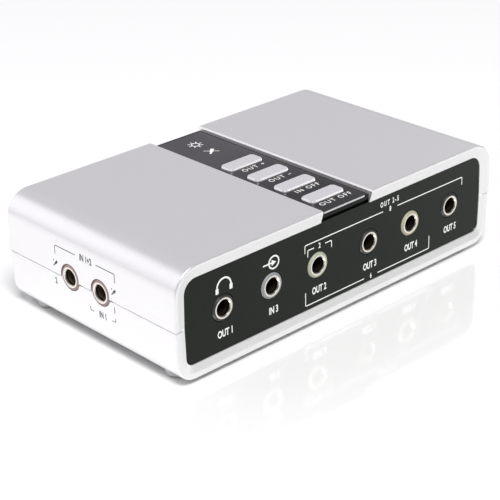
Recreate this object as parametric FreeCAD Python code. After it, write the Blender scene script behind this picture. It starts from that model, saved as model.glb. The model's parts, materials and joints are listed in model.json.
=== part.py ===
import FreeCAD, Part
import math
import os

# External USB sound box: a two-part moulded housing with a key strip in a channel across its top, jacks
# in a panel at the front and in the left side, and the data and optical sockets in a panel at the rear.
# Sizes are in millimetres. The front faces -Y and the feet stand on z = 0.

V = FreeCAD.Vector
os.makedirs("parts", exist_ok=True)

# Housing
body_width = 100.0
body_depth = 57.8
body_height = 26.0
parting_height = 12.6
parting_step = 0.25
wall = 2.0
top_edge_radius = 6.0
bottom_edge_radius = 4.6
top_draft = 1.8
bottom_draft = 1.2
edge_break = 0.35
reveal_height = 0.5
reveal_depth = 0.45

# Frames round the two end panels
rim_side = 2.7
rim_top = 3.15
rim_flat = 0.25
bevel_depth = 0.75
lip_depth = 1.0
rib_height = 1.0
rib_thickness = 1.2

# End panels
panel_thickness = 1.5
panel_clearance = 0.1

# Joint between the two shells
lap_height = 1.0
lap_wall = 0.9
lap_clearance = 0.1

# Key strip
strip_x = 0.35
channel_width = 15.4
channel_chamfer = 0.2
trough_wall = 1.6
strip_drop = 1.05
overlay_thickness = 0.4
overlay_margin = 0.7
overlay_rear = 1.0
overlay_proud = 0.1
overlay_corner = 0.8
bezel_thickness = 1.2
bezel_clearance = 0.1
bezel_front = 1.0
bezel_rear = 0.3
nose_lift = 0.6
nose_depth = 0.6
nose_radius = 0.3
web_thickness = 1.3

# Keys and their switches
key_length = 10.5
key_width = 4.15
key_corner = 1.1
key_bevel = 0.2
key_bevel_height = 0.4
key_proud = 0.55
key_pitch = 8.75
key_first = 7.75
key_clearance = 0.15
key_flange = 0.8
key_flange_thickness = 1.0
key_stem_radius = 1.9
key_stem_length = 1.0
key_travel = 0.3
rest_clearance = 0.1
switch_size = 6.0
switch_height = 3.5
switch_floor = 1.0
plunger_radius = 1.7
plunger_clearance = 0.1

# Circuit board
board_thickness = 1.6
board_clearance = 1.0
board_end_clearance = 0.25

# Jacks
jack_pitch = 14.0
jack_inner = 8.2
jack_axis_rise = 0.45
jack_axis_height = 3.5
jack_body_width = 8.0
jack_body_height = 7.0
jack_bore_radius = 1.8
jack_bore_depth = 14.0
jack_end_wall = 0.5
jack_seat_clearance = 0.1
collar_radius = 3.0
collar_proud = 0.3
collar_chamfer = 0.3
collar_clearance = 0.15
ring_radius = 2.4
ring_length = 0.8
ring_bevel = 0.25
ring_clearance = 0.02
mic_first = 24.6
mic_pitch = 10.5
mic_recess = 0.05
contact_thickness = 0.3
contact_width = 1.2
contact_rise = 0.8
contact_gap = 0.06
contact_tail = 1.0
contact_near = 3.2
contact_far = 8.4

# Rear sockets
socket_proud = 0.2
socket_clearance = 0.15
usb_x = 28.0
usb_width = 12.0
usb_height = 11.0
usb_length = 16.0
usb_sheet = 0.4
usb_mouth_width = 8.45
usb_mouth_height = 7.78
usb_mouth_cut = 1.6
usb_cavity_depth = 9.0
usb_tongue_width = 5.6
usb_tongue_height = 3.2
usb_tongue_recess = 0.8
usb_contact_width = 1.0
usb_contact_thickness = 0.15
usb_contact_length = 6.0
optical_out_x = -14.0
optical_pitch = 15.0
optical_width = 10.0
optical_height = 10.4
optical_length = 13.5
optical_mouth = 8.2
optical_mouth_cut = 1.2
optical_mouth_depth = 7.5
optical_ferrule_radius = 1.6
optical_ferrule_depth = 3.5
optical_lens_length = 1.5

# Light guides under the strip
lamp_offset = 0.55
power_inset = 6.9
microphone_inset = 12.7
guide_radius = 1.5
guide_clearance = 0.1
guide_collar = 0.7
guide_collar_thickness = 1.0
led_length = 3.2
led_width = 2.8
led_height = 1.9

# Parts on the board
chip_size = 10.0
chip_height = 1.5
chip_standoff = 0.2
chip_lead = 0.9
chip_lead_width = 0.5
chip_lead_pitch = 1.5
chip_lead_count = 6
chip_x = 19.0
crystal_length = 11.0
crystal_width = 4.7
crystal_height = 3.5
crystal_x = 35.0
regulator_length = 6.5
regulator_width = 3.5
regulator_height = 1.6
regulator_tab = 1.5
regulator_x = 13.0
regulator_inset = 6.0
capacitor_radius = 2.5
capacitor_height = 7.0
capacitor_edge = 0.3
capacitor_pitch = 8.0
capacitor_gap = 3.2

# Fixings and feet
post_inset = 8.0
post_gap = 0.6
post_radius = 2.4
base_post_radius = 3.6
screw_radius = 1.1
screw_clearance = 0.4
screw_grip = 7.0
screw_head_radius = 2.3
screw_head_height = 1.6
screw_head_sunk = 0.6
screw_slot_length = 2.6
screw_slot_width = 0.6
screw_slot_depth = 0.9
foot_height = 1.1
foot_radius = 2.7
foot_seat = 0.8
foot_edge = 0.5
foot_side = 5.4
foot_inset = 6.5
seat_clearance = 0.05

# Positions that follow from the sizes above
half_width = body_width / 2
half_depth = body_depth / 2
base_z = foot_height
parting_z = base_z + parting_height
top_z = base_z + body_height
axis_z = parting_z + jack_axis_rise
board_top = axis_z - jack_axis_height
board_bottom = board_top - board_thickness
panel_back = lip_depth + panel_thickness
rib_start = panel_back + panel_clearance
half_channel = channel_width / 2
channel_left = strip_x - half_channel
channel_right = strip_x + half_channel
lamp_x = strip_x + lamp_offset
window_top = top_z - rim_top
strip_z = top_z - strip_drop
bezel_top = strip_z - overlay_proud
overlay_seat = strip_z - overlay_thickness
web_top = overlay_seat - bezel_thickness
web_bottom = web_top - web_thickness
key_top = strip_z + key_proud
flange_top = web_bottom - rest_clearance
flange_bottom = flange_top - key_flange_thickness
plunger_top = flange_bottom - key_stem_length
board_half_width = half_width - parting_step - wall - board_clearance
board_half_depth = half_depth - rib_start - rib_thickness - board_end_clearance
jack_face = -half_depth + lip_depth - collar_proud
front_collar = collar_proud + panel_thickness + jack_seat_clearance
mic_face = -half_width + mic_recess
mic_collar = wall + parting_step + jack_seat_clearance
jack_length = jack_bore_depth + jack_end_wall
jack_rear = jack_face + jack_length
mic_front = -half_depth + mic_first
mic_rear = mic_front + mic_pitch
mic_end = half_width - mic_recess - jack_length
post_x = half_width - post_inset
post_front = (jack_rear + mic_front - jack_body_width / 2) / 2
post_rear = mic_rear + jack_body_width / 2 + post_gap + post_radius
foot_x = half_width - foot_side
foot_y = half_depth - foot_inset
socket_face = half_depth - lip_depth + socket_proud
far = body_width

jack_columns = {
    "headphone": -jack_inner - 2 * jack_pitch,
    "line_in": -jack_inner - jack_pitch,
    "front_out": -jack_inner,
    "surround_out": jack_inner,
    "centre_bass_out": jack_inner + jack_pitch,
    "back_out": jack_inner + 2 * jack_pitch,
}
mic_rows = {
    "mic_left": mic_front,
    "mic_right": mic_rear,
}
key_rows = {
    "mute": -half_depth + key_first,
    "mic_mute": -half_depth + key_first + key_pitch,
    "volume_down": -half_depth + key_first + 2 * key_pitch,
    "volume_up": -half_depth + key_first + 3 * key_pitch,
}
lamp_rows = {
    "power": half_depth - power_inset,
    "microphone": half_depth - microphone_inset,
}
optical_columns = {
    "optical_out": optical_out_x,
    "optical_in": optical_out_x - optical_pitch,
}
capacitor_outer = mic_end - capacitor_gap - capacitor_radius
capacitor_row = jack_rear + capacitor_gap + capacitor_radius
chip_y = (capacitor_row + capacitor_radius + socket_face - usb_length) / 2
crystal_y = chip_y
posts = [(side * post_x, y) for side in (-1, 1) for y in (post_front, post_rear)]
feet = {
    "front_left": (-foot_x, -foot_y),
    "front_right": (foot_x, -foot_y),
    "rear_left": (-foot_x, foot_y),
    "rear_right": (foot_x, foot_y),
}


def on_xz(y):
    """Puts profile points on the upright plane at y."""
    return lambda u, v: V(u, y, v)


def on_xy(z):
    """Puts profile points on the level plane at z."""
    return lambda u, v: V(u, v, z)


def on_yz(x):
    """Puts profile points on the plane that runs front to back at x."""
    return lambda u, v: V(x, u, v)


def rounded_wire(corners, place):
    """Closed wire through (u, v, radius) corners, with a tangent arc at each radius above zero."""
    count = len(corners)
    joints = []
    for i in range(count):
        here = V(corners[i][0], corners[i][1], 0)
        back = V(corners[i - 1][0], corners[i - 1][1], 0) - here
        ahead = V(corners[(i + 1) % count][0], corners[(i + 1) % count][1], 0) - here
        back.normalize()
        ahead.normalize()
        radius = corners[i][2]
        if radius <= 0:
            joints.append((here, None, here))
            continue
        half = back.getAngle(ahead) / 2
        middle = back + ahead
        middle.normalize()
        reach = radius / math.tan(half)
        crown = here + middle * (radius / math.sin(half) - radius)
        joints.append((here + back * reach, crown, here + ahead * reach))
    edges = []
    for i in range(count):
        start, crown, end = joints[i]
        if crown is not None:
            arc = Part.Arc(place(start.x, start.y), place(crown.x, crown.y), place(end.x, end.y))
            edges.append(arc.toShape())
        following = joints[(i + 1) % count][0]
        edges.append(Part.makeLine(place(end.x, end.y), place(following.x, following.y)))
    return Part.Wire(edges)


def prism(corners, place, along):
    """Solid swept from a rounded profile."""
    return Part.Face(rounded_wire(corners, place)).extrude(along)


def rectangle(u, v, width, height, radius=0.0):
    """Corners of a rectangle about its middle."""
    a = width / 2
    b = height / 2
    return [(u - a, v - b, radius), (u + a, v - b, radius), (u + a, v + b, radius), (u - a, v + b, radius)]


def block(x0, x1, y0, y1, z0, z1):
    """Box between two corners."""
    return Part.makeBox(x1 - x0, y1 - y0, z1 - z0, V(x0, y0, z0))


def upright(radius, x, y, z0, z1):
    """Upright cylinder between two heights."""
    return Part.makeCylinder(radius, z1 - z0, V(x, y, z0), V(0, 0, 1))


def upper_profile(inset, drop=0.0):
    """Cross section of the top cover set in by inset, carried drop below the parting plane."""
    slope = math.tan(math.radians(top_draft))
    low = half_width - inset + drop * slope
    high = half_width - inset - (top_z - inset - parting_z) * slope
    radius = max(top_edge_radius - inset, edge_break)
    return [
        (-low, parting_z - drop, 0),
        (low, parting_z - drop, 0),
        (high, top_z - inset, radius),
        (-high, top_z - inset, radius),
    ]


def lower_profile(inset, rise=0.0):
    """Cross section of the bottom shell set in by inset, carried rise above the parting plane."""
    slope = math.tan(math.radians(bottom_draft))
    high = half_width - parting_step - inset + rise * slope
    low = half_width - parting_step - inset - (parting_z - base_z - inset) * slope
    radius = max(bottom_edge_radius - inset, edge_break)
    return [
        (-low, base_z + inset, radius),
        (low, base_z + inset, radius),
        (high, parting_z + rise, 0),
        (-high, parting_z + rise, 0),
    ]


def whole_profile(side, end):
    """Cross section of both shells together, set in by side at the sides and by end above and below."""
    upper = math.tan(math.radians(top_draft)) * (top_z - end - parting_z)
    lower = math.tan(math.radians(bottom_draft)) * (parting_z - base_z - end)
    middle = half_width - parting_step - side
    top_radius = max(top_edge_radius - side, edge_break)
    bottom_radius = max(bottom_edge_radius - side, edge_break)
    return [
        (-middle + lower, base_z + end, bottom_radius),
        (middle - lower, base_z + end, bottom_radius),
        (middle, parting_z, 0),
        (middle - upper, top_z - end, top_radius),
        (-middle + upper, top_z - end, top_radius),
        (-middle, parting_z, 0),
    ]


def end_rounded(solid, reach, keep_z):
    """Rounds the outline edges of both end faces, except the edge on the parting plane."""
    edges = []
    for edge in solid.Edges:
        box = edge.BoundBox
        on_end = abs(abs(box.YMin) - reach) < 1e-4 and box.YLength < 1e-4
        on_parting = abs(box.ZMin - keep_z) < 1e-4 and box.ZLength < 1e-4
        if on_end and not on_parting:
            edges.append(edge)
    return solid.makeFillet(edge_break, edges)


def end_cutters():
    """Bevelled openings of the frames at both ends."""
    outer = whole_profile(edge_break + rim_flat, edge_break + rim_flat)
    inner = whole_profile(rim_side, rim_top)
    cutters = []
    for end in (-1, 1):
        mouth = rounded_wire(outer, on_xz(end * half_depth))
        throat = rounded_wire(inner, on_xz(end * (half_depth - bevel_depth)))
        cutters.append(Part.makeLoft([mouth, throat], True, True))
        step = end * (half_depth - bevel_depth)
        cutters.append(prism(inner, on_xz(step), V(0, -end * lip_depth, 0)))
    return cutters


def ribs(profile):
    """Ribs that close the panel slots, one behind each panel, as rings round the cavity."""
    rings = []
    for start in (-half_depth + rib_start, half_depth - rib_start - rib_thickness):
        ring = prism(profile(wall / 2), on_xz(start), V(0, rib_thickness, 0))
        hole = prism(profile(wall + rib_height, wall), on_xz(start), V(0, rib_thickness, 0))
        rings.append(ring.cut(hole))
    return rings


def mic_openings():
    """Round openings in the left wall for the collars of the two microphone jacks."""
    radius = collar_radius + collar_clearance
    reach = mic_collar + wall
    return [
        Part.makeCylinder(radius, 2 * reach, V(-half_width - reach, y, axis_z), V(1, 0, 0))
        for y in mic_rows.values()
    ]


def key_outline(y, margin):
    """Rounded outline of one key, let out by margin."""
    return rectangle(strip_x, y, key_length + 2 * margin, key_width + 2 * margin, key_corner + margin)


def key_openings(margin, z0, z1):
    """Openings for the four keys between two heights."""
    return [prism(key_outline(y, margin), on_xy(z0), V(0, 0, z1 - z0)) for y in key_rows.values()]


def guide_openings(z0, z1):
    """Round holes for the light guides between two heights."""
    radius = guide_radius + guide_clearance
    return [upright(radius, lamp_x, y, z0, z1) for y in lamp_rows.values()]


def lap_tongues(grow, rise):
    """Tongues that stand up inside both side walls at the parting plane, let out by grow."""
    inner = half_width - parting_step - wall
    reach = half_depth - rib_start - rib_thickness
    tongues = []
    for side in (-1, 1):
        near = side * (inner - grow)
        away = side * (inner + lap_wall + grow)
        tongues.append(block(min(near, away), max(near, away), -reach - grow, reach + grow,
                             parting_z - lap_wall, parting_z + rise))
    return tongues


def top_cover():
    """Upper shell with the channel for the key strip, its web, screw posts and panel slots."""
    outer = prism(upper_profile(0), on_xz(-half_depth), V(0, body_depth, 0))
    outer = end_rounded(outer, half_depth, parting_z)
    inside = body_depth - 2 * lip_depth
    cavity = prism(upper_profile(wall, wall), on_xz(-half_depth + lip_depth), V(0, inside, 0))
    reach = half_depth - rib_start
    roof = top_z - wall / 2
    trough = block(channel_left - trough_wall, channel_right + trough_wall, -reach, reach, web_bottom, roof)
    bosses = [upright(post_radius, x, y, board_top, roof).common(outer) for x, y in posts]
    shell = outer.cut(cavity).fuse([trough] + ribs(upper_profile) + bosses)
    channel = prism([
        (channel_left, web_top, 0),
        (channel_right, web_top, 0),
        (channel_right, top_z - 2 * channel_chamfer, 0),
        (channel_right + 2 * channel_chamfer, top_z + 2 * channel_chamfer, 0),
        (channel_left - 2 * channel_chamfer, top_z + 2 * channel_chamfer, 0),
        (channel_left, top_z - 2 * channel_chamfer, 0),
    ], on_xz(-half_depth - edge_break), V(0, body_depth + 2 * edge_break, 0))
    mouth_floor = window_top - panel_clearance
    mouths = [
        block(channel_left, channel_right, -far, -reach, mouth_floor, web_top + web_thickness),
        block(channel_left, channel_right, reach, far, mouth_floor, web_top + web_thickness),
    ]
    pilots = [upright(screw_radius + seat_clearance, x, y, board_top - wall, board_top + screw_grip + 1)
              for x, y in posts]
    cuts = [channel] + mouths + pilots + end_cutters() + mic_openings()
    a = key_length / 2 + key_clearance
    b = key_width / 2 + key_clearance
    for y in key_rows.values():
        cuts.append(block(strip_x - a, strip_x + a, y - b, y + b, web_bottom - wall, web_top + wall))
    cuts += guide_openings(web_bottom - wall, web_top + wall)
    cuts += lap_tongues(lap_clearance, lap_height + lap_clearance)
    return shell.cut(cuts)


def reveal():
    """Narrow shadow groove round the outside of the bottom shell, just under the parting plane."""
    low = parting_z - reveal_height
    across = half_width - parting_step - reveal_depth
    along = half_depth - parting_step - reveal_depth
    core = block(-across, across, -along, along, low, parting_z + wall)
    return block(-far, far, -far, far, low, parting_z + wall).cut(core)


def bottom_shell():
    """Lower shell with the board posts, the lap tongues, sunk screw holes and seats for the feet."""
    reach = half_depth - parting_step
    outer = prism(lower_profile(0), on_xz(-reach), V(0, 2 * reach, 0))
    outer = end_rounded(outer, reach, parting_z)
    inside = body_depth - 2 * lip_depth
    cavity = prism(lower_profile(wall, wall), on_xz(-half_depth + lip_depth), V(0, inside, 0))
    columns = [upright(base_post_radius, x, y, base_z + wall / 2, board_bottom) for x, y in posts]
    shell = outer.cut(cavity).fuse(columns + ribs(lower_profile) + lap_tongues(0, lap_height))
    head_top = base_z + screw_head_sunk + screw_head_height
    cuts = [upright(screw_radius + screw_clearance, x, y, base_z, board_top) for x, y in posts]
    cuts += [upright(screw_head_radius + screw_clearance, x, y, 0, head_top) for x, y in posts]
    cuts += [upright(foot_radius + seat_clearance, x, y, 0, base_z + foot_seat) for x, y in feet.values()]
    return shell.cut(cuts + [reveal()] + end_cutters() + mic_openings())


def end_panel(end):
    """Plate that slides into the slots at one end, notched under the key strip."""
    inset = wall + panel_clearance
    outline = whole_profile(inset, inset)
    near = end * (half_depth - lip_depth)
    plate = prism(outline, on_xz(near), V(0, -end * panel_thickness, 0))
    notch = block(channel_left, channel_right, -far, far, window_top, far)
    return plate.cut(notch)


def front_panel():
    """Front plate with a round hole for each jack collar."""
    radius = collar_radius + collar_clearance
    holes = [Part.makeCylinder(radius, body_depth / 2, V(x, -half_depth - wall, axis_z), V(0, 1, 0))
             for x in jack_columns.values()]
    return end_panel(-1).cut(holes)


def rear_panel():
    """Rear plate with openings for the data socket and the two optical sockets."""
    openings = []
    sockets = [(usb_x, usb_width, usb_height)]
    sockets += [(x, optical_width, optical_height) for x in optical_columns.values()]
    for x, width, height in sockets:
        across = width / 2 + socket_clearance
        openings.append(block(x - across, x + across, 0, far,
                              board_top - socket_clearance, board_top + height + socket_clearance))
    return end_panel(1).cut(openings)


def overlay_outline(margin):
    """Outline of the printed strip, let out by margin."""
    y0 = -half_depth + bezel_front - margin
    y1 = half_depth - overlay_rear + margin
    width = channel_width - 2 * overlay_margin + 2 * margin
    return rectangle(strip_x, (y0 + y1) / 2, width, y1 - y0, overlay_corner + margin)


def button_bezel():
    """Dark moulding that fills the channel, with an undercut nose over the front panel's top edge."""
    front = -half_depth + bezel_front
    rear = half_depth - bezel_rear
    ledge = half_depth - panel_back
    hang = window_top + panel_clearance
    left = channel_left + bezel_clearance
    right = channel_right - bezel_clearance
    nose_profile = [
        (front, hang + nose_lift, nose_radius),
        (front + nose_depth, hang + nose_lift, 0),
        (front + nose_depth, hang, 0),
        (-ledge, hang, 0),
        (-ledge, bezel_top, 0),
        (front, bezel_top, 0),
    ]
    middle = block(left, right, -ledge, ledge, web_top, bezel_top)
    lip = prism(nose_profile, on_yz(left), V(right - left, 0, 0))
    tail = block(left, right, ledge, rear, hang, bezel_top)
    pocket = prism(overlay_outline(bezel_clearance), on_xy(overlay_seat), V(0, 0, wall))
    cuts = [pocket] + key_openings(key_clearance, web_top - wall, bezel_top + wall)
    cuts += guide_openings(web_top - wall, bezel_top + wall)
    return middle.fuse([lip, tail]).removeSplitter().cut(cuts)


def control_overlay():
    """Thin printed strip in the bezel's pocket, with an opening for each key."""
    strip = prism(overlay_outline(0), on_xy(overlay_seat), V(0, 0, overlay_thickness))
    return strip.cut(key_openings(key_clearance, overlay_seat - wall, strip_z + wall))


def key(y):
    """Key cap with steeply bevelled edges, the flange that keeps it in and the stem over the switch."""
    shoulder = key_top - key_bevel_height
    cap = prism(key_outline(y, 0), on_xy(flange_bottom), V(0, 0, shoulder - flange_bottom))
    crown = Part.makeLoft([
        rounded_wire(key_outline(y, 0), on_xy(shoulder)),
        rounded_wire(key_outline(y, -key_bevel), on_xy(key_top)),
    ], True, True)
    a = key_length / 2 + key_flange
    b = key_width / 2 + key_flange
    flange = block(strip_x - a, strip_x + a, y - b, y + b, flange_bottom, flange_top)
    stem = upright(key_stem_radius, strip_x, y, plunger_top, flange_top)
    return cap.fuse([crown, flange, stem]).removeSplitter()


def switch_base(y):
    """Body of the push switch under one key, with the well its plunger runs in."""
    a = switch_size / 2
    body = block(strip_x - a, strip_x + a, y - a, y + a, board_top, board_top + switch_height)
    well = upright(plunger_radius + plunger_clearance, strip_x, y, board_top + switch_floor, far)
    return body.cut(well)


def switch_plunger(y):
    """Plunger between the switch and its key."""
    low = board_top + switch_floor + key_travel + rest_clearance
    return upright(plunger_radius, strip_x, y, low, plunger_top)


def jack_parts(collar):
    """Body, mouth ring and contacts of one jack, its axis along +Y from the collar's face at the origin."""
    half = jack_body_width / 2
    low = -jack_axis_height
    body = block(-half, half, collar, jack_length, low, low + jack_body_height)
    nose = Part.makeCylinder(collar_radius, collar + jack_end_wall, V(0, 0, 0), V(0, 1, 0))
    edge = [e for e in nose.Edges if e.BoundBox.YMax < 1e-4 and e.BoundBox.XLength > collar_radius]
    nose = nose.makeChamfer(collar_chamfer, edge)
    bore = Part.makeCylinder(jack_bore_radius, jack_bore_depth, V(0, 0, 0), V(0, 1, 0))
    seat = Part.makeCylinder(ring_radius + ring_clearance, ring_length, V(0, 0, 0), V(0, 1, 0))
    cuts = [bore, seat]
    contacts = []
    near = jack_bore_radius + contact_gap
    out = near + contact_thickness
    for side, offset in ((1, contact_near), (-1, contact_far)):
        y = collar + offset
        a = contact_width / 2
        x0 = min(side * near, side * out)
        tail = low - board_thickness - contact_tail
        contacts.append(block(x0, x0 + contact_thickness, y - a, y + a, tail, contact_rise))
        s0 = min(side * jack_bore_radius / 2, side * (out + contact_gap))
        s1 = max(side * jack_bore_radius / 2, side * (out + contact_gap))
        cuts.append(block(s0, s1, y - a - contact_gap, y + a + contact_gap, low - 1,
                          contact_rise + contact_gap))
    ring = Part.makeCylinder(ring_radius, ring_length, V(0, 0, 0), V(0, 1, 0))
    wide = jack_bore_radius + ring_bevel
    mouth = Part.makeCone(wide, jack_bore_radius, ring_bevel, V(0, 0, 0), V(0, 1, 0))
    return body.fuse(nose).cut(cuts), ring.cut([bore, mouth]), contacts


def placed(shape, x, y, turn):
    """Copy of a jack piece at its place, turned about the upright axis."""
    copy = shape.copy()
    copy.Placement = FreeCAD.Placement(V(x, y, axis_z), FreeCAD.Rotation(V(0, 0, 1), turn))
    return copy


def usb_mouth(y, depth):
    """Opening of the data socket from y inwards, square below with two cut corners above."""
    a = usb_mouth_width / 2
    middle = board_top + usb_height / 2
    low = middle - usb_mouth_height / 2
    high = middle + usb_mouth_height / 2
    corners = [
        (usb_x - a, low, 0),
        (usb_x + a, low, 0),
        (usb_x + a, high - usb_mouth_cut, 0),
        (usb_x + a - usb_mouth_cut, high, 0),
        (usb_x - a + usb_mouth_cut, high, 0),
        (usb_x - a, high - usb_mouth_cut, 0),
    ]
    return prism(corners, on_xz(y), V(0, -depth, 0))


def usb_shield():
    """Folded metal shield of the data socket, open below and behind."""
    a = usb_width / 2
    back = socket_face - usb_length
    outer = block(usb_x - a, usb_x + a, back, socket_face, board_top, board_top + usb_height)
    inner = block(usb_x - a + usb_sheet, usb_x + a - usb_sheet, back - 1, socket_face - usb_sheet,
                  board_top - 1, board_top + usb_height - usb_sheet)
    return outer.cut([inner, usb_mouth(socket_face + usb_sheet, 3 * usb_sheet)])


def usb_insert():
    """Moulded block inside the shield with the cavity and the tongue of the data socket."""
    a = usb_width / 2 - usb_sheet - seat_clearance
    front = socket_face - usb_sheet - seat_clearance
    back = socket_face - usb_length
    lid = board_top + usb_height - usb_sheet - seat_clearance
    body = block(usb_x - a, usb_x + a, back, front, board_top, lid)
    body = body.cut(usb_mouth(front + 1, usb_cavity_depth + 1))
    middle = board_top + usb_height / 2
    b = usb_tongue_width / 2
    c = usb_tongue_height / 2
    tongue = block(usb_x - b, usb_x + b, back, front - usb_tongue_recess, middle - c, middle + c)
    return body.fuse(tongue).removeSplitter()


def usb_contacts():
    """Four contact strips on the two faces of the tongue."""
    middle = board_top + usb_height / 2
    c = usb_tongue_height / 2
    tip = socket_face - usb_sheet - seat_clearance - usb_tongue_recess - usb_contact_width
    strips = []
    for side in (-1, 1):
        for face in (-1, 1):
            x = usb_x + side * usb_tongue_width / 4
            z0 = min(face * c, face * (c + usb_contact_thickness)) + middle
            strips.append(block(x - usb_contact_width / 2, x + usb_contact_width / 2,
                                tip - usb_contact_length, tip, z0, z0 + usb_contact_thickness))
    return strips


def optical_socket(x):
    """Housing of one optical socket with its keyed mouth and the hole for the plug's tip."""
    a = optical_width / 2
    back = socket_face - optical_length
    body = block(x - a, x + a, back, socket_face, board_top, board_top + optical_height)
    m = optical_mouth / 2
    middle = board_top + optical_height / 2
    k = optical_mouth_cut
    mouth = prism([
        (x - m, middle - m, 0),
        (x + m, middle - m, 0),
        (x + m, middle + m - k, 0),
        (x + m - k, middle + m, 0),
        (x - m + k, middle + m, 0),
        (x - m, middle + m - k, 0),
    ], on_xz(socket_face + 1), V(0, -optical_mouth_depth - 1, 0))
    deep = optical_mouth_depth + optical_ferrule_depth
    hole = Part.makeCylinder(optical_ferrule_radius, deep, V(x, socket_face, middle), V(0, -1, 0))
    return body.cut([mouth, hole])


def optical_lens(x):
    """Clear end piece at the bottom of one optical socket."""
    middle = board_top + optical_height / 2
    start = socket_face - optical_mouth_depth - optical_ferrule_depth
    return Part.makeCylinder(optical_ferrule_radius - seat_clearance, optical_lens_length,
                             V(x, start, middle), V(0, 1, 0))


def led(y):
    """Small light source on the board."""
    return block(lamp_x - led_length / 2, lamp_x + led_length / 2, y - led_width / 2, y + led_width / 2,
                 board_top, board_top + led_height)


def light_guide(y):
    """Clear rod from the light source to the strip, with the collar that stops under the web."""
    rod = upright(guide_radius, lamp_x, y, board_top + led_height + rest_clearance, overlay_seat)
    low = web_bottom - guide_collar_thickness
    collar = upright(guide_radius + guide_collar, lamp_x, y, low, web_bottom)
    return rod.fuse(collar)


def circuit_board(contacts):
    """Board with a hole at each screw and a slot for each contact."""
    plate = block(-board_half_width, board_half_width, -board_half_depth, board_half_depth,
                  board_bottom, board_top)
    radius = screw_radius + screw_clearance
    cuts = [upright(radius, x, y, board_bottom - 1, board_top + 1) for x, y in posts]
    for contact in contacts:
        box = contact.BoundBox
        g = contact_gap
        cuts.append(block(box.XMin - g, box.XMax + g, box.YMin - g, box.YMax + g,
                          board_bottom - 1, board_top + 1))
    return plate.cut(cuts)


def audio_chip():
    """Flat chip with leads on its four sides."""
    x = chip_x
    y = chip_y
    a = chip_size / 2
    low = board_top + chip_standoff
    body = block(x - a, x + a, y - a, y + a, low, low + chip_height)
    leads = []
    w = chip_lead_width / 2
    high = low + chip_height / 2
    for i in range(chip_lead_count):
        offset = (i - (chip_lead_count - 1) / 2) * chip_lead_pitch
        for side in (-1, 1):
            near = side * (a - w)
            away = side * (a + chip_lead)
            lo = min(near, away)
            hi = max(near, away)
            leads.append(block(x + lo, x + hi, y + offset - w, y + offset + w, board_top, high))
            leads.append(block(x + offset - w, x + offset + w, y + lo, y + hi, board_top, high))
    return body.fuse(leads)


def crystal():
    """Flat oval metal can."""
    corner = crystal_width / 2 - rest_clearance
    outline = rectangle(crystal_x, crystal_y, crystal_length, crystal_width, corner)
    return prism(outline, on_xy(board_top), V(0, 0, crystal_height))


def regulator():
    """Small power device with a wide tab."""
    x = regulator_x
    y = board_half_depth - regulator_inset
    a = regulator_length / 2
    b = regulator_width / 2
    body = block(x - a, x + a, y - b, y + b, board_top, board_top + regulator_height)
    tab = block(x - a / 2, x + a / 2, y, y + b + regulator_tab, board_top, board_top + regulator_height / 4)
    return body.fuse(tab).removeSplitter()


def capacitor(x, y):
    """Upright metal can with a bevelled top edge."""
    can = upright(capacitor_radius, x, y, board_top, board_top + capacitor_height)
    edge = [e for e in can.Edges if e.BoundBox.ZMin > board_top + capacitor_height - 1e-4]
    return can.makeChamfer(capacitor_edge, edge)


def case_screw(x, y):
    """Pan-head screw with a cross recess, driven in from below."""
    low = base_z + screw_head_sunk
    head = upright(screw_head_radius, x, y, low, low + screw_head_height)
    edge = [e for e in head.Edges if e.BoundBox.ZMax < low + 1e-4]
    head = head.makeChamfer(screw_head_height / 3, edge)
    shank = upright(screw_radius, x, y, low + screw_head_height / 2, board_top + screw_grip)
    a = screw_slot_length / 2
    b = screw_slot_width / 2
    cross = [
        block(x - a, x + a, y - b, y + b, low - 1, low + screw_slot_depth),
        block(x - b, x + b, y - a, y + a, low - 1, low + screw_slot_depth),
    ]
    return head.fuse(shank).cut(cross)


def foot(x, y):
    """Round soft foot seated in the underside."""
    pad = upright(foot_radius, x, y, 0, base_z + foot_seat)
    edge = [e for e in pad.Edges if e.BoundBox.ZMax < 1e-4]
    return pad.makeChamfer(foot_edge, edge)


def save(name, *shapes):
    """Writes one node, as a single solid or as a group of separate ones."""
    solids = [solid for shape in shapes for solid in shape.Solids]
    shape = solids[0] if len(solids) == 1 else Part.makeCompound(solids)
    shape.exportStep("parts/" + name + ".step")


front_body, front_ring, front_contacts = jack_parts(front_collar)
mic_body, mic_ring, mic_contacts = jack_parts(mic_collar)
all_contacts = []
for jack_name, column in jack_columns.items():
    save(jack_name + "_jack", placed(front_body, column, jack_face, 0))
    save(jack_name + "_ring", placed(front_ring, column, jack_face, 0))
    all_contacts += [placed(c, column, jack_face, 0) for c in front_contacts]
for jack_name, row in mic_rows.items():
    save(jack_name + "_jack", placed(mic_body, mic_face, row, -90))
    save(jack_name + "_ring", placed(mic_ring, mic_face, row, -90))
    all_contacts += [placed(c, mic_face, row, -90) for c in mic_contacts]
save("jack_contacts", *all_contacts)

save("top_cover", top_cover())
save("bottom_shell", bottom_shell())
save("front_panel", front_panel())
save("rear_panel", rear_panel())
save("button_bezel", button_bezel())
save("control_overlay", control_overlay())
for key_name, key_y in key_rows.items():
    save(key_name + "_button", key(key_y))
    save(key_name + "_switch", switch_base(key_y))
    save(key_name + "_plunger", switch_plunger(key_y))

save("usb_shield", usb_shield())
save("usb_insert", usb_insert())
save("usb_contacts", *usb_contacts())
for socket_name, socket_x in optical_columns.items():
    save(socket_name + "_socket", optical_socket(socket_x))
    save(socket_name + "_lens", optical_lens(socket_x))

for lamp_name, lamp_y in lamp_rows.items():
    save(lamp_name + "_led", led(lamp_y))
    save(lamp_name + "_light_guide", light_guide(lamp_y))

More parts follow.
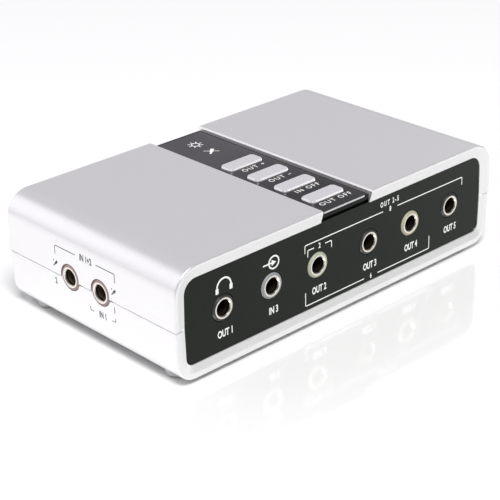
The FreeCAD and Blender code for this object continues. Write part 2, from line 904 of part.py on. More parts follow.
save("circuit_board", circuit_board(all_contacts))
save("audio_chip", audio_chip())
save("crystal", crystal())
save("voltage_regulator", regulator())
capacitor_columns = [capacitor_outer - i * capacitor_pitch for i in range(3)]
save("coupling_capacitors", *[
    capacitor(side * column, capacitor_row) for side in (-1, 1) for column in capacitor_columns
])
save("case_screws", *[case_screw(x, y) for x, y in posts])
for foot_name, (foot_at_x, foot_at_y) in feet.items():
    save(foot_name + "_foot", foot(foot_at_x, foot_at_y))
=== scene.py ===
"""Looks of the external sound box: finishes, print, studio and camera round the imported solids."""

import json
import logging
import math
from dataclasses import dataclass, field, replace
from enum import Enum
from typing import ClassVar

import bmesh
import bpy
from mathutils import Matrix, Vector

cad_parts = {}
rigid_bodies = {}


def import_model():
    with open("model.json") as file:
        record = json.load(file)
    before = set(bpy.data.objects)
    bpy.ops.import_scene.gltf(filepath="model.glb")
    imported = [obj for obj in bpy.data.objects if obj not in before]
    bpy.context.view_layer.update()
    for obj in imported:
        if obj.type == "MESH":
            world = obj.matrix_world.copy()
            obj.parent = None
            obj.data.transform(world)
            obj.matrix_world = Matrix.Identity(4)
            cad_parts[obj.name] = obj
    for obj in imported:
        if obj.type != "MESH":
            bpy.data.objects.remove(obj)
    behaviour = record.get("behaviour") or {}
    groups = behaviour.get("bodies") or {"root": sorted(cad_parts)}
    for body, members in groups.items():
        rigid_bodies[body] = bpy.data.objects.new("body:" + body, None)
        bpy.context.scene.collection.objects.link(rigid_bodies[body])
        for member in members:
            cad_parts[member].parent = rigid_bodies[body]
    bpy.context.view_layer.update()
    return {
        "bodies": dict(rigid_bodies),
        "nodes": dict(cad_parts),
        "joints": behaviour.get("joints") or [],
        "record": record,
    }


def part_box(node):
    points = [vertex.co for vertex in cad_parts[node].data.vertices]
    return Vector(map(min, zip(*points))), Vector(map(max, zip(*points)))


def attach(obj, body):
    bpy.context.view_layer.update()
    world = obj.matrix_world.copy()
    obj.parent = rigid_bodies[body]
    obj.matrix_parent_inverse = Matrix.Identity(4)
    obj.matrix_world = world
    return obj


LOG = logging.getLogger("sound_box")
MM = 0.001

Colour = tuple[float, float, float]
Place = tuple[float, float, float]
Point = tuple[float, float]
Sign = tuple[tuple[float, Point, Point], ...]
Node = bpy.types.Node
Socket = bpy.types.NodeSocket


class NodeDesk:
    """Adds nodes to one tree and links them."""

    def __init__(self, tree: bpy.types.NodeTree) -> None:
        """Keeps the tree that the nodes go into."""
        self.tree = tree

    def add(self, kind: str, inputs: dict | None = None, **settings: object) -> Node:
        """Adds a node, sets it up and feeds its inputs.

        Args:
            kind: type name of the node.
            inputs: values or output sockets, by the name or number of the input.
            settings: properties of the node itself.

        Returns:
            The new node.
        """
        node = self.tree.nodes.new(kind)
        for name, value in settings.items():
            setattr(node, name, value)
        for key, value in (inputs or {}).items():
            if isinstance(value, Socket):
                self.tree.links.new(value, node.inputs[key])
            else:
                node.inputs[key].default_value = value
        return node

    def maths(self, operation: str, first: object, second: object) -> Socket:
        """Adds an operation on two values or sockets and gives its result."""
        return self.add("ShaderNodeMath", {0: first, 1: second}, operation=operation).outputs[0]

    def swing(self, base: object, amount: object, mask: Socket) -> Socket:
        """Gives base + amount * (mask - 0.5), for a mask that goes from 0 to 1."""
        offset = self.maths("SUBTRACT", mask, 0.5)
        return self.maths("ADD", base, self.maths("MULTIPLY", amount, offset))

    def dimmed(self, colour: Socket, factor: Socket) -> Socket:
        """Multiplies a colour by a value."""
        return self.add("ShaderNodeVectorMath", {0: colour, "Scale": factor}, operation="SCALE").outputs[0]

    def picked(self, choice: Socket, off: Socket, on: Socket) -> Socket:
        """Gives one colour where a choice is 0 and another where it is 1."""
        return self.add("ShaderNodeMix", {"Factor": choice, 4: off, 5: on}, data_type="VECTOR").outputs[1]


class Effect(Enum):
    """Surface effects that several finishes share."""

    MOULDED = "moulded_surface"
    COLLAR = "collar_surface"
    FLAKE = "flake_paint"
    TURNED = "turned_metal"
    ROLLED = "rolled_metal"
    HAZE = "handling_haze"
    EDGE_HIGHLIGHT = "painted_edge_highlight_sheet"


class EffectGroup(NodeDesk):
    """Shader node group that turns a place on a piece into its colour, roughness and height."""

    shared: tuple[str, ...] = ("Shade", "Roughness", "Spread")

    def __init__(self, effect: Effect, values: tuple[str, ...], colours: tuple[str, ...]) -> None:
        """Opens the group.

        Args:
            effect: which effect.
            values: names of the number inputs besides the shared ones.
            colours: names of the colour inputs.
        """
        super().__init__(bpy.data.node_groups.new(effect.value, "ShaderNodeTree"))
        self.settings = (*colours, *self.shared, *values)
        taken = {name: "Color" if name in colours else "Float" for name in self.settings}
        given = {"Colour": "Color", "Roughness": "Float", "Height": "Float"}
        for way, kinds in (("INPUT", {"Vector": "Vector", **taken}), ("OUTPUT", given)):
            for name, kind in kinds.items():
                self.tree.interface.new_socket(name, in_out=way, socket_type="NodeSocket" + kind)
        self.take = {socket.name: socket for socket in self.add("NodeGroupInput").outputs}

    def axes(self) -> list[Socket]:
        """Splits the place into its X, Y and Z."""
        return list(self.add("ShaderNodeSeparateXYZ", {0: self.take["Vector"]}).outputs)

    def joined(self, *axes: Socket) -> Socket:
        """Joins X, Y and, where it is given, Z into a vector."""
        return self.add("ShaderNodeCombineXYZ", dict(enumerate(axes))).outputs[0]

    def reach(self, axes: list[Socket]) -> Socket:
        """Measures the distance from the local Z axis."""
        flat = self.joined(*axes[:2])
        return self.add("ShaderNodeVectorMath", {0: flat}, operation="LENGTH").outputs["Value"]

    def noise(self, size: str, octaves: float, vector: Socket | None = None) -> Socket:
        """Adds noise.

        Args:
            size: name of the input that gives the size of its features, in metres.
            octaves: how much finer noise it has.
            vector: where to look it up, if not at the place itself.

        Returns:
            The noise value's socket.
        """
        scale = self.maths("DIVIDE", 1.0, self.take[size])
        where = self.take["Vector"] if vector is None else vector
        lookup = {"Vector": where, "Scale": scale, "Detail": octaves}
        return self.add("ShaderNodeTexNoise", lookup).outputs[0]

    def tinted(self, mask: Socket) -> Socket:
        """Lightens and darkens the colour by its shade as a mask goes from 0 to 1."""
        return self.dimmed(self.take["Colour"], self.swing(1.0, self.take["Shade"], mask))

    def close(self, colour: Socket, mask: Socket, height: Socket) -> None:
        """Joins the results to the outputs; the mask swings the roughness."""
        roughness = self.swing(self.take["Roughness"], self.take["Spread"], mask)
        self.add("NodeGroupOutput", {"Colour": colour, "Roughness": roughness, "Height": height})


class EffectShelf:
    """Shader node groups of the shared effects, each built once."""

    sparkle_share: float = 0.75

    def __init__(self) -> None:
        """Builds every group."""
        self.groups: dict[Effect, EffectGroup] = {}
        self._moulded()
        self._collar()
        self._flake()
        self._turned()
        self._rolled()
        self._haze()
        self._edge_highlight()

    def _open(
        self, effect: Effect, values: tuple[str, ...], colours: tuple[str, ...] = ("Colour",),
    ) -> EffectGroup:
        """Opens the group of an effect and keeps it."""
        self.groups[effect] = EffectGroup(effect, values, colours)
        return self.groups[effect]

    def _moulded(self) -> None:
        """Fine mould grain with a broad, faint change of shade."""
        group = self._open(Effect.MOULDED, ("Grain", "Patch"))
        fine = group.noise("Grain", octaves=2.0)
        group.close(group.tinted(group.noise("Patch", octaves=3.0)), fine, fine)

    def _collar(self) -> None:
        """Moulded jack body: its colour shows outside the ring's seat, and the hole within takes a dark
        colour, painted shade.
        """
        group = self._open(Effect.COLLAR, ("Grain", "Seat"), ("Colour", "Hole_Shade"))
        fine = group.noise("Grain", octaves=2.0)
        # Painted shade: inside the seat's radius the hole gets its own dark colour.
        outside = group.maths("GREATER_THAN", group.reach(group.axes()), group.take["Seat"])
        group.close(group.picked(outside, group.take["Hole_Shade"], group.tinted(fine)), fine, fine)

    def _flake(self) -> None:
        """Metal flake under wavy lacquer; above a seam's height the colour is lightened, painted light that
        eases the shade in the parting groove.
        """
        group = self._open(Effect.FLAKE, ("Flake", "Peel", "Patch", "Seam", "Gain"))
        scale = group.maths("DIVIDE", 1.0, group.take["Flake"])
        cells = group.add("ShaderNodeTexVoronoi", {"Vector": group.take["Vector"], "Scale": scale})
        sparkle = group.add("ShaderNodeSeparateColor", {0: cells.outputs["Color"]}).outputs[0]
        broad = group.noise("Patch", octaves=2.0)
        fine_share = group.maths("MULTIPLY", sparkle, self.sparkle_share)
        broad_share = group.maths("MULTIPLY", broad, 1.0 - self.sparkle_share)
        # Painted light: above the seam's height the colour is multiplied up, to lighten the shaded groove.
        above = group.maths("GREATER_THAN", group.axes()[2], group.take["Seam"])
        light = group.maths("MAXIMUM", group.maths("MULTIPLY", above, group.take["Gain"]), 1.0)
        colour = group.dimmed(group.tinted(group.maths("ADD", fine_share, broad_share)), light)
        group.close(colour, sparkle, group.noise("Peel", octaves=1.0))

    def _turned(self) -> None:
        """Fine rings about the local Z axis, as a lathe leaves them, with painted shade on the bore within
        a radius.
        """
        group = self._open(Effect.TURNED, ("Pitch", "Bore", "Gloom"))
        axes = group.axes()
        reach = group.reach(axes)
        turns = group.maths("DIVIDE", group.maths("ADD", reach, axes[2]), group.take["Pitch"])
        lines = {"W": turns, "Scale": 1.0, "Detail": 2.0}
        mask = group.add("ShaderNodeTexNoise", lines, noise_dimensions="1D").outputs[0]
        # Painted shade: within the bore's radius the colour is dimmed down to the gloom share.
        outside = group.maths("GREATER_THAN", reach, group.take["Bore"])
        light = group.maths("MAXIMUM", outside, group.take["Gloom"])
        group.close(group.dimmed(group.tinted(mask), light), mask, mask)

    def _rolled(self) -> None:
        """Streaks of rolled or stamped sheet metal along the local Y axis."""
        group = self._open(Effect.ROLLED, ("Streak", "Stretch"))
        squeeze = group.maths("DIVIDE", 1.0, group.take["Stretch"])
        x, y, z = group.axes()
        drawn = group.joined(x, group.maths("MULTIPLY", y, squeeze), z)
        streaks = group.noise("Streak", octaves=3.0, vector=drawn)
        group.close(group.tinted(streaks), streaks, streaks)

    def _haze(self) -> None:
        """Polished face with the soft clouded patches that handling leaves, and a trace of waviness."""
        group = self._open(Effect.HAZE, ("Patch", "Wave"))
        cloud = group.noise("Patch", octaves=4.0)
        group.close(group.tinted(cloud), cloud, group.noise("Wave", octaves=1.0))

    def _edge_highlight(self) -> None:
        """Polished sheet with a painted highlight on its front edge, which lies below zero on the local Y
        axis, and painted shade that darkens it towards that edge.
        """
        group = self._open(Effect.EDGE_HIGHLIGHT, ("Patch", "Wave", "Gleam", "Fade", "Gloom"))
        cloud = group.noise("Patch", octaves=4.0)
        depth = group.axes()[1]
        # Painted shade: the colour darkens towards the front, down to the gloom share.
        rise = group.maths("MINIMUM", group.maths("DIVIDE", depth, group.take["Fade"]), 1.0)
        clouded = group.dimmed(group.tinted(cloud), group.maths("MAXIMUM", rise, group.take["Gloom"]))
        # Painted highlight: in front of the zero line the sheet takes the pale gleam colour.
        pale = group.joined(*[group.take["Gleam"]] * 3)
        colour = group.picked(group.maths("LESS_THAN", depth, 0.0), clouded, pale)
        group.close(colour, cloud, group.noise("Wave", octaves=1.0))


@dataclass(frozen=True)
class Finish:
    """What every finish has: a colour, how it shines, and how rough it is to the touch."""

    effect: ClassVar[Effect]
    name: str
    colour: Colour
    roughness: float
    spread: float = 0.06
    shade: float = 0.05
    relief: float = 0.02 * MM
    bump: float = 0.25
    metallic: float = 0.0
    specular: float = 0.5
    specular_tint: Colour = (1.0, 1.0, 1.0)
    coat: float = 0.0
    coat_roughness: float = 0.1
    transmission: float = 0.0
    centre: Place = (0.0, 0.0, 0.0)
    turn: Place = (0.0, 0.0, 0.0)

    def setting(self, name: str) -> object:
        """Gives what goes into an effect's input: the field of that name, or a colour with its alpha."""
        value = getattr(self, name.lower())
        return (*value, 1.0) if isinstance(value, tuple) else value

    def material(self, shelf: EffectShelf) -> bpy.types.Material:
        """Makes the material.

        Args:
            shelf: the shared effects.

        Returns:
            The new material.
        """
        made = bpy.data.materials.new(self.name)
        made.use_nodes = True
        made.node_tree.nodes.clear()
        desk = NodeDesk(made.node_tree)
        place = {"Vector": desk.add("ShaderNodeTexCoord").outputs["Object"]}
        place.update({"Location": self.centre, "Rotation": self.turn})
        mapped = desk.add("ShaderNodeMapping", place, vector_type="TEXTURE").outputs[0]
        group = shelf.groups[self.effect]
        inputs = {"Vector": mapped, **{name: self.setting(name) for name in group.settings}}
        surface = desk.add("ShaderNodeGroup", inputs, node_tree=group.tree).outputs
        bump = desk.add("ShaderNodeBump", {
            "Strength": self.bump, "Distance": self.relief, "Height": surface["Height"],
        })
        shader = desk.add("ShaderNodeBsdfPrincipled", {
            "Base Color": surface["Colour"],
            "Roughness": surface["Roughness"],
            "Normal": bump.outputs[0],
            "Metallic": self.metallic,
            "Specular IOR Level": self.specular,
            "Specular Tint": (*self.specular_tint, 1.0),
            "Coat Weight": self.coat,
            "Coat Roughness": self.coat_roughness,
            "Transmission Weight": self.transmission,
        })
        desk.add("ShaderNodeOutputMaterial", {"Surface": shader.outputs[0]})
        made.diffuse_color = (*self.colour, 1.0)
        return made


@dataclass(frozen=True)
class MouldedFinish(Finish):
    """Moulded plastic, rubber or ink with a fine even grain."""

    effect: ClassVar[Effect] = Effect.MOULDED
    grain: float = 0.12 * MM
    patch: float = 6.0 * MM


@dataclass(frozen=True)
class CollarFinish(Finish):
    """Moulded jack body with a coloured collar round a hole in painted shade."""

    effect: ClassVar[Effect] = Effect.COLLAR
    grain: float = 0.12 * MM
    seat: float = 2.3 * MM
    # Dark colour inside the hole: painted shade.
    hole_shade: Colour = (0.014, 0.010, 0.007)


@dataclass(frozen=True)
class PaintFinish(Finish):
    """Silver paint: metal flake in a satin lacquer, with painted light above a seam's height, out of reach
    unless that height is given.
    """

    effect: ClassVar[Effect] = Effect.FLAKE
    flake: float = 0.14 * MM
    peel: float = 0.5 * MM
    patch: float = 30.0 * MM
    # Seam height, and the factor of painted light that lightens the paint above it in the shaded parting
    # groove.
    seam: float = 1.0
    gain: float = 1.18


@dataclass(frozen=True)
class PolishedFinish(Finish):
    """Polished plastic with faint handling haze."""

    effect: ClassVar[Effect] = Effect.HAZE
    patch: float = 9.0 * MM
    wave: float = 7.0 * MM


@dataclass(frozen=True)
class EdgeHighlightFinish(PolishedFinish):
    """Polished clear-faced sheet with a painted highlight along its front edge and painted shade that
    darkens it towards the front.
    """

    effect: ClassVar[Effect] = Effect.EDGE_HIGHLIGHT
    # Brightness of the painted edge highlight, then the depth and the darkest share of the painted shade in
    # front.
    gleam: float = 0.52
    fade: float = 40.0 * MM
    gloom: float = 0.3


@dataclass(frozen=True)
class TurnedFinish(Finish):
    """Turned metal with rings about its axis and painted shade on its bore."""

    effect: ClassVar[Effect] = Effect.TURNED
    pitch: float = 0.12 * MM
    # Radius within which the ring's colour is darkened as painted shade, and the share of colour left
    # there.
    bore: float = 1.95 * MM
    gloom: float = 0.4


@dataclass(frozen=True)
class RolledFinish(Finish):
    """Sheet metal with the streaks of rolling."""

    effect: ClassVar[Effect] = Effect.ROLLED
    streak: float = 0.15 * MM
    stretch: float = 14.0


SILVER_PAINT = PaintFinish(
    "silver_paint", (0.82, 0.815, 0.823), 0.32, spread=0.06, shade=0.05, relief=0.01 * MM, bump=0.08,
    metallic=0.77, coat=0.1, coat_roughness=0.3,
)
KEY_PAINT = PaintFinish(
    "key_grey", (0.85, 0.836, 0.872), 0.32, spread=0.08, shade=0.08, relief=0.01 * MM, bump=0.10,
    metallic=0.7,
)
PANEL_BLACK = PolishedFinish(
    "panel_black", (0.0033, 0.0044, 0.0032), 0.18, spread=0.10, shade=0.3, relief=0.004 * MM, bump=0.1,
    specular=0.21, specular_tint=(0.90, 1.0, 0.86),
)
BEZEL_BLACK = MouldedFinish(
    "bezel_black", (0.008, 0.008, 0.0085), 0.24, spread=0.08, shade=0.2, relief=0.006 * MM, bump=0.2,
    specular=0.11,
)
OVERLAY_GREY = EdgeHighlightFinish(
    "overlay_grey", (0.048, 0.044, 0.052), 0.30, spread=0.08, shade=0.15, relief=0.004 * MM, bump=0.08,
    specular=0.2,
)
WHITE_INK = MouldedFinish(
    "white_ink", (0.86, 0.86, 0.85), 0.5, shade=0.06, relief=0.004 * MM, grain=0.06 * MM, patch=2.0 * MM,
)
DARK_INK = MouldedFinish(
    "dark_ink", (0.045, 0.045, 0.048), 0.5, shade=0.25, relief=0.004 * MM, grain=0.06 * MM, patch=2.0 * MM,
)
PLUNGER_BLACK = MouldedFinish("plunger_black", (0.014, 0.014, 0.015), 0.42, shade=0.15)
JACK_PLASTIC = CollarFinish("jack_plastic", (0.016, 0.016, 0.016), 0.36, shade=0.1)
RING_METAL = TurnedFinish(
    "ring_metal", (0.80, 0.755, 0.68), 0.24, spread=0.12, shade=0.14, relief=0.004 * MM, metallic=1.0,
)
CONTACT_BRASS = RolledFinish(
    "contact_brass", (0.72, 0.52, 0.24), 0.28, spread=0.12, shade=0.16, relief=0.004 * MM, metallic=1.0,
)
SOCKET_STEEL = RolledFinish(
    "socket_steel", (0.62, 0.61, 0.59), 0.30, spread=0.14, shade=0.14, relief=0.004 * MM, metallic=1.0,
)
SOCKET_WHITE = MouldedFinish("socket_white", (0.72, 0.71, 0.68), 0.42, shade=0.06)
OPTICAL_BLACK = MouldedFinish("optical_black", (0.018, 0.018, 0.019), 0.40, shade=0.2)
CLEAR_PLASTIC = MouldedFinish(
    "clear_plastic", (0.93, 0.94, 0.95), 0.08, spread=0.06, shade=0.03, bump=0.1, transmission=1.0,
)
LED_WHITE = MouldedFinish("led_white", (0.80, 0.79, 0.72), 0.35, shade=0.06)
BOARD_GREEN = RolledFinish(
    "board_green", (0.015, 0.11, 0.045), 0.34, spread=0.16, shade=0.5, relief=0.02 * MM, streak=0.9 * MM,
    stretch=9.0,
)
CHIP_BLACK = MouldedFinish("chip_black", (0.013, 0.013, 0.014), 0.55, shade=0.2)
CAN_METAL = RolledFinish(
    "can_metal", (0.66, 0.66, 0.68), 0.32, spread=0.14, shade=0.12, relief=0.004 * MM, metallic=1.0,
)
SCREW_STEEL = RolledFinish(
    "screw_steel", (0.34, 0.34, 0.35), 0.34, spread=0.16, shade=0.2, relief=0.006 * MM, metallic=1.0,
)
FOOT_RUBBER = MouldedFinish(
    "foot_rubber", (0.52, 0.52, 0.52), 0.38, spread=0.1, shade=0.06, grain=0.2 * MM,
)
STUDIO_FLOOR = PolishedFinish(
    "studio_floor", (0.93, 0.93, 0.93), 0.08, spread=0.02, shade=0.01, bump=0.0, metallic=0.16, patch=0.2,
    wave=0.2,
)


class Palette:
    """Materials of the finishes, each made once."""

    def __init__(self) -> None:
        """Starts with the shared effects and no materials."""
        self.shelf = EffectShelf()
        self.made: dict[str, bpy.types.Material] = {}

    def of(self, finish: Finish) -> bpy.types.Material:
        """Gives the material of a finish.

        Args:
            finish: the finish.

        Returns:
            Its material, made on the first call.
        """
        if finish.name not in self.made:
            self.made[finish.name] = finish.material(self.shelf)
        return self.made[finish.name]


def stand(name: str, data: bpy.types.ID) -> bpy.types.Object:
    """Makes an object and puts it in the scene.

    Args:
        name: its name.
        data: its mesh, light or camera.

    Returns:
        The new object.
    """
    made = bpy.data.objects.new(name, data)
    bpy.context.scene.collection.objects.link(made)
    return made


def plain_mesh(source: bpy.types.Object) -> bpy.types.Mesh:
    """Turns an object with modifiers, or a text, into a plain mesh and removes the object.

    Args:
        source: object that isn't in the scene yet.

    Returns:
        The evaluated mesh.
    """
    bpy.context.scene.collection.objects.link(source)
    bpy.context.view_layer.update()
    graph = bpy.context.evaluated_depsgraph_get()
    mesh = bpy.data.meshes.new_from_object(source.evaluated_get(graph))
    bpy.data.objects.remove(source)
    return mesh


def plane_at(origin: Vector, right: Vector, normal: Vector) -> Matrix:
    """Gives the placing of a flat sheet.

    Args:
        origin: where the sheet's zero point lies, in metres.
        right: direction of the sheet's X axis.
        normal: direction the print faces.

    Returns:
        The matrix from the sheet to the part's frame.
    """
    z = normal.normalized()
    x = (right - z * right.dot(z)).normalized()
    turned = Matrix((x, z.cross(x), z)).transposed().to_4x4()
    return Matrix.Translation(origin) @ turned


class PrintTree(NodeDesk):
    """Geometry node tree that turns a drawing into ink on a face."""

    def __init__(self, name: str, inputs: dict[str, str]) -> None:
        """Opens the tree.

        Args:
            name: name of the tree.
            inputs: kinds of the inputs beside the drawing and the ink, by name.
        """
        super().__init__(bpy.data.node_groups.new(name, "GeometryNodeTree"))
        face = self.tree.interface
        face.new_socket("Drawing", in_out="INPUT", socket_type="NodeSocketGeometry")
        self.keys = {
            key: face.new_socket(key, in_out="INPUT", socket_type="NodeSocket" + kind).identifier
            for key, kind in {**inputs, "Ink": "Material"}.items()
        }
        face.new_socket("Print", in_out="OUTPUT", socket_type="NodeSocketGeometry")
        self.take = self.add("NodeGroupInput").outputs

    def close(self, shapes: Socket) -> None:
        """Makes the shapes real, inks them and joins them to the output.

        Args:
            shapes: socket of the finished shapes.
        """
        real = self.add("GeometryNodeRealizeInstances", {"Geometry": shapes}).outputs[0]
        inked = self.add("GeometryNodeSetMaterial", {"Geometry": real, "Material": self.take["Ink"]})
        self.add("NodeGroupOutput", {0: inked.outputs[0]})

    def grow(self, mesh: bpy.types.Mesh, values: dict[str, object]) -> bpy.types.Mesh:
        """Runs the tree on a drawing.

        Args:
            mesh: the drawing.
            values: the tree's inputs by name.

        Returns:
            The plain mesh that comes out.
        """
        source = bpy.data.objects.new(mesh.name, mesh)
        modifier = source.modifiers.new("print", "NODES")
        modifier.node_group = self.tree
        for name, value in values.items():
            modifier[self.keys[name]] = value
        return plain_mesh(source)


class StrokeTree(PrintTree):
    """Gives drawn lines the width and thickness of print."""

    corner_steps: int = 5

    def __init__(self) -> None:
        """Builds the tree: line, rounded corners, flat section."""
        super().__init__("printed_stroke", dict.fromkeys(("Width", "Thickness", "Corner"), "Float"))
        line = self.add("GeometryNodeMeshToCurve", {"Mesh": self.take["Drawing"]}).outputs[0]
        eased = self.add("GeometryNodeFilletCurve", {
            "Curve": line, "Radius": self.take["Corner"], "Count": self.corner_steps, "Limit Radius": True,
        }, mode="POLY").outputs[0]
        level = self.add("GeometryNodeSetCurveNormal", {"Curve": eased}, mode="Z_UP").outputs[0]
        section = self.add("GeometryNodeCurvePrimitiveQuadrilateral", {
            "Width": self.take["Width"], "Height": self.take["Thickness"],
        }).outputs[0]
        self.close(self.add("GeometryNodeCurveToMesh", {
            "Curve": level, "Profile Curve": section, "Fill Caps": True,
        }).outputs[0])


class RayTree(PrintTree):
    """Sets short bars round each given point, as the rays of a lamp sign."""

    def __init__(self) -> None:
        """Builds the tree: circle of bars turned outwards, one circle on each point."""
        super().__init__("lamp_rays", {"Count": "Int", "Radius": "Float", "Bar": "Vector"})
        circle = self.add("GeometryNodeMeshCircle", {
            "Vertices": self.take["Count"], "Radius": self.take["Radius"],
        }).outputs[0]
        bar = self.add("GeometryNodeMeshCube", {"Size": self.take["Bar"]}).outputs[0]
        place = self.add("GeometryNodeInputPosition").outputs[0]
        outward = self.add("FunctionNodeAlignRotationToVector", {"Vector": place}, axis="X").outputs[0]
        ring = self.add("GeometryNodeInstanceOnPoints", {
            "Points": circle, "Instance": bar, "Rotation": outward,
        }).outputs[0]
        self.close(self.add("GeometryNodeInstanceOnPoints", {
            "Points": self.take["Drawing"], "Instance": ring,
        }).outputs[0])


class Press:
    """The node trees that print uses, built once."""

    def __init__(self) -> None:
        """Builds both trees."""
        self.strokes = StrokeTree()
        self.rays = RayTree()


@dataclass
class Sheet:
    """Print on one flat face, drawn in millimetres: X to the right, Y up, facing the reader."""

    name: str
    ink: bpy.types.Material
    press: Press
    line: float = 0.24
    proud: float = 0.012
    sunk: float = 0.012
    layer: float = 0.003
    corner: float = 0.3
    arc_step: float = 12.0
    fewest_steps: int = 6
    capital: float = 0.69
    letter_steps: int = 3
    letter_squeeze: float = 0.66
    letter_weight: float = 0.042
    letter_space: float = 1.0
    parts: list[bpy.types.Mesh] = field(default_factory=list)
    lines: dict[float, list[list[Point]]] = field(default_factory=dict)

    @property
    def thickness(self) -> float:
        """Whole thickness of the print."""
        return self.proud + self.sunk

    @property
    def middle(self) -> float:
        """Height of the middle of the print over its face."""
        return (self.proud - self.sunk) / 2

    def stroke(self, *points: Point, width: float | None = None) -> None:
        """Draws a line through points, in the sheet's line width unless another is given."""
        self.lines.setdefault(width or self.line, []).append(list(points))

    def sign(self, strokes: Sign, at: Point) -> None:
        """Draws a sign of straight strokes round a point, each given by its width and both ends."""
        for width, *ends in strokes:
            self.stroke(*[(at[0] + x, at[1] + y) for x, y in ends], width=width)

    def arc(self, centre: Point, radius: float, start: float, end: float, width: float) -> None:
        """Draws an arc.

        Args:
            centre: centre of the arc.
            radius: its radius.
            start: angle where it starts, in degrees from the X axis.
            end: angle where it ends.
            width: line width.
        """
        steps = max(self.fewest_steps, round(abs(end - start) / self.arc_step))
        angles = [math.radians(start + (end - start) * i / steps) for i in range(steps + 1)]
        x, y = centre
        self.stroke(*[(x + radius * math.cos(a), y + radius * math.sin(a)) for a in angles], width=width)

    def plate(self, *points: Point) -> None:
        """Prints a filled shape with straight edges.

        Args:
            points: its corners, round the outline.
        """
        shape = bmesh.new()
        low = [shape.verts.new((x * MM, y * MM, -self.sunk * MM)) for x, y in points]
        high = [shape.verts.new((x * MM, y * MM, self.proud * MM)) for x, y in points]
        shape.faces.new(low[::-1])
        shape.faces.new(high)
        for i in range(len(points)):
            after = (i + 1) % len(points)
            shape.faces.new((low[i], low[after], high[after], high[i]))
        mesh = bpy.data.meshes.new(self.name + "_plate")
        shape.to_mesh(mesh)
        shape.free()
        self.parts.append(mesh)

    def text(self, words: str, at: Point, height: float) -> None:
        """Prints plain letters or figures.

        Args:
            words: what they say.
            at: their middle.
            height: height of a capital.
        """
        curve = bpy.data.curves.new(self.name + "_text", "FONT")
        curve.body = words
        curve.size = height * MM / self.capital
        curve.align_x = "CENTER"
        curve.align_y = "CENTER"
        curve.offset = self.letter_weight * height * MM
        curve.space_character = self.letter_space
        curve.extrude = self.thickness / 2 * MM
        curve.resolution_u = self.letter_steps
        mesh = plain_mesh(bpy.data.objects.new(curve.name, curve))
        squeeze = Matrix.Diagonal((self.letter_squeeze, 1.0, 1.0, 1.0))
        mesh.transform(Matrix.Translation(Vector((*at, self.middle)) * MM) @ squeeze)
        self.parts.append(mesh)

    def rays(self, at: Point, count: int, radius: float, bar: Point) -> None:
        """Prints short rays round a point.

        Args:
            at: the point.
            count: how many rays.
            radius: from the point to the middle of a ray.
            bar: length and width of a ray.
        """
        mesh = bpy.data.meshes.new(self.name + "_rays")
        mesh.from_pydata([Vector((*at, self.middle)) * MM], [], [])
        self.parts.append(self.press.rays.grow(mesh, {
            "Count": count,
            "Radius": radius * MM,
            "Bar": Vector((*bar, self.thickness)) * MM,
            "Ink": self.ink,
        }))

    def _swept_lines(self) -> None:
        """Gives the drawn lines their width, each width a layer above the last."""
        for level, (width, paths) in enumerate(self.lines.items(), start=1):
            height = self.middle + level * self.layer
            verts = []
            edges = []
            for path in paths:
                first = len(verts)
                verts += [(x * MM, y * MM, height * MM) for x, y in path]
                edges += [(first + i, first + i + 1) for i in range(len(path) - 1)]
            mesh = bpy.data.meshes.new(self.name + "_lines")
            mesh.from_pydata(verts, edges, [])
            self.parts.append(self.press.strokes.grow(mesh, {
                "Width": width * MM,
                "Thickness": self.thickness * MM,
                "Corner": self.corner * MM,
                "Ink": self.ink,
            }))

    def lay(self, place: Matrix, body: str) -> bpy.types.Object:
        """Joins all that was drawn into one piece on its face.

        Args:
            place: matrix from the sheet to the part's frame.
            body: the body that carries the face.

        Returns:
            The printed piece.
        """
        self._swept_lines()
        joined = bmesh.new()
        for mesh in self.parts:
            joined.from_mesh(mesh)
        for face in joined.faces:
            face.material_index = 0
        bmesh.ops.recalc_face_normals(joined, faces=joined.faces)
        result = bpy.data.meshes.new(self.name)
        joined.to_mesh(result)
        joined.free()
        result.transform(place)
        result.materials.append(self.ink)
        piece = stand(self.name, result)
        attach(piece, body)
        return piece


@dataclass(frozen=True)
class Bracket:
    """Line with turned ends and a gap for a word, in millimetres on its sheet."""

    left: float
    right: float
    level: float
    foot: float
    gap: Point

    def draw(self, sheet: Sheet, words: str, height: float) -> None:
        """Draws the bracket and the word in its gap.

        Args:
            sheet: the sheet.
            words: what the gap says.
            height: height of a capital.
        """
        before, after = self.gap
        sheet.stroke((self.left, self.foot), (self.left, self.level), (before, self.level))
        sheet.stroke((after, self.level), (self.right, self.level), (self.right, self.foot))
        sheet.text(words, ((before + after) / 2, self.level), height)


@dataclass
class SubAssembly:
    """One group of nodes that are dressed together."""

    frame: dict
    palette: Palette
    press: Press
    body: str = "housing"

    def dress(self, finish: Finish, *nodes: str) -> None:
        """Gives nodes their finish.

        Args:
            finish: the finish.
            nodes: names of the nodes.
        """
        material = self.palette.of(finish)
        for node in nodes:
            slots = self.frame["nodes"][node].data.materials
            slots.clear()
            slots.append(material)
            LOG.info("dressed %s in %s", node, finish.name)

    def middle(self, node: str) -> tuple[float, ...]:
        """Finds the middle of a node's box, in millimetres."""
        return tuple((low + high) / 2 / MM for low, high in zip(*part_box(node)))

    def sheet(self, name: str, finish: Finish) -> Sheet:
        """Opens a sheet of print in an ink."""
        return Sheet(name, self.palette.of(finish), self.press)

    def lay(self, sheet: Sheet, place: Matrix) -> None:
        """Lays a finished sheet on its face."""
        piece = sheet.lay(place, self.body)
        LOG.info("printed %s, %d faces", piece.name, len(piece.data.polygons))


